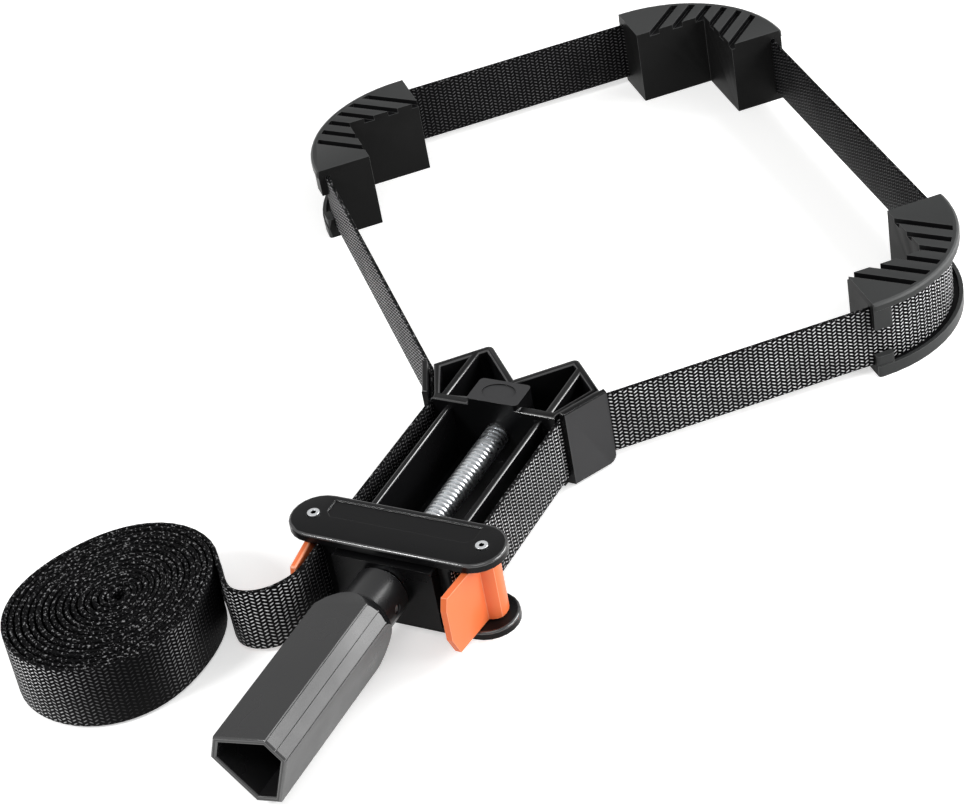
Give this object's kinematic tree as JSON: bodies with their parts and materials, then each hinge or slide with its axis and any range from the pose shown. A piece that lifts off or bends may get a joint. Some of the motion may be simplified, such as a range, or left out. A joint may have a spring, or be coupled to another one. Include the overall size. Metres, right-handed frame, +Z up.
{
  "type": "strap corner clamp",
  "caption": "Webbing band clamp with a screw-handle tensioner, V nose, cam levers, loose corner jaws and a roll of spare strap.",
  "frame": {"origin": "on the flat underside of the V nose, straight below the screw axis, close behind the notch", "axes": "+X along the screw from the handle towards the work, +Z up from the bench, +Y to the left seen from the handle"},
  "size_m": [0.4593, 0.283, 0.0326],
  "materials": {
    "body_plastic": "satin black moulded nylon",
    "jaw_plastic": "satin dark grey moulded nylon",
    "handle_plastic": "satin grey-black moulding",
    "lever_plastic": "bright orange moulding",
    "webbing": "coarse black nylon webbing",
    "zinc_steel": "bright zinc-plated steel"
  },
  "bodies": {
    "base": {"frame": "body_plastic", "strap_nose_left": "webbing", "strap_nose_right": "webbing", "strap_side_left": "webbing", "strap_side_right": "webbing", "strap_run_left": "webbing", "strap_run_right": "webbing"},
    "spindle": {"lead_screw": "zinc_steel", "retaining_ring": "zinc_steel", "thrust_washer": "zinc_steel", "handle": "handle_plastic", "handle_cross_pin": "zinc_steel"},
    "carriage": {"carriage_body": "body_plastic", "nut": "zinc_steel", "carriage_bottom_plate": "body_plastic", "lever_rivet_left": "zinc_steel", "lever_rivet_right": "zinc_steel", "strap_grip_left": "webbing", "strap_grip_right": "webbing", "strap_tail": "webbing", "strap_roll": "webbing"},
    "lever_left": {"lever_left": "lever_plastic"},
    "lever_right": {"lever_right": "lever_plastic"},
    "jaw_left": {"jaw_left": "jaw_plastic", "strap_arc_left": "webbing", "strap_run_far_left": "webbing"},
    "jaw_far": {"jaw_far": "jaw_plastic", "strap_arc_far": "webbing"},
    "jaw_right": {"jaw_right": "jaw_plastic", "strap_arc_right": "webbing", "strap_run_far_right": "webbing"}
  },
  "joints": [
    {"name": "handle_turn", "type": "hinge", "parent": "base", "child": "spindle", "pos_m": [0, 0, 0.018], "axis": [1, 0, 0], "range_deg": [-8100, 0]},
    {"name": "carriage_slide", "type": "slide", "parent": "base", "child": "carriage", "axis": [1, 0, 0], "range_m": [0, 0.045], "deforming": ["strap_side_left", "strap_side_right"]},
    {"name": "lever_left_turn", "type": "hinge", "parent": "carriage", "child": "lever_left", "pos_m": [-0.082, 0.032, 0.016], "axis": [0, 0, -1], "range_deg": [0, 75]},
    {"name": "lever_right_turn", "type": "hinge", "parent": "carriage", "child": "lever_right", "pos_m": [-0.082, -0.032, 0.016], "axis": [0, 0, 1], "range_deg": [0, 75]},
    {"name": "jaw_left_slide", "type": "slide", "parent": "base", "child": "jaw_left", "axis": [0.7071, 0.7071, 0], "range_m": [0, 0.0225], "deforming": ["strap_run_left", "strap_run_far_right"]},
    {"name": "jaw_right_slide", "type": "slide", "parent": "base", "child": "jaw_right", "axis": [0.7071, -0.7071, 0], "range_m": [0, 0.0225], "deforming": ["strap_run_right"]},
    {"name": "jaw_far_slide", "type": "slide", "parent": "jaw_left", "child": "jaw_far", "axis": [0.7071, -0.7071, 0], "range_m": [0, 0.0225], "deforming": ["strap_run_far_left"]}
  ],
  "couplings": [
    {"joint": "handle_turn", "follows": "carriage_slide", "rad_per_m": -3141.6},
    {"joint": "jaw_left_slide", "follows": "carriage_slide", "ratio": 0.5},
    {"joint": "jaw_right_slide", "follows": "carriage_slide", "ratio": 0.5},
    {"joint": "jaw_far_slide", "follows": "carriage_slide", "ratio": 0.5}
  ]
}
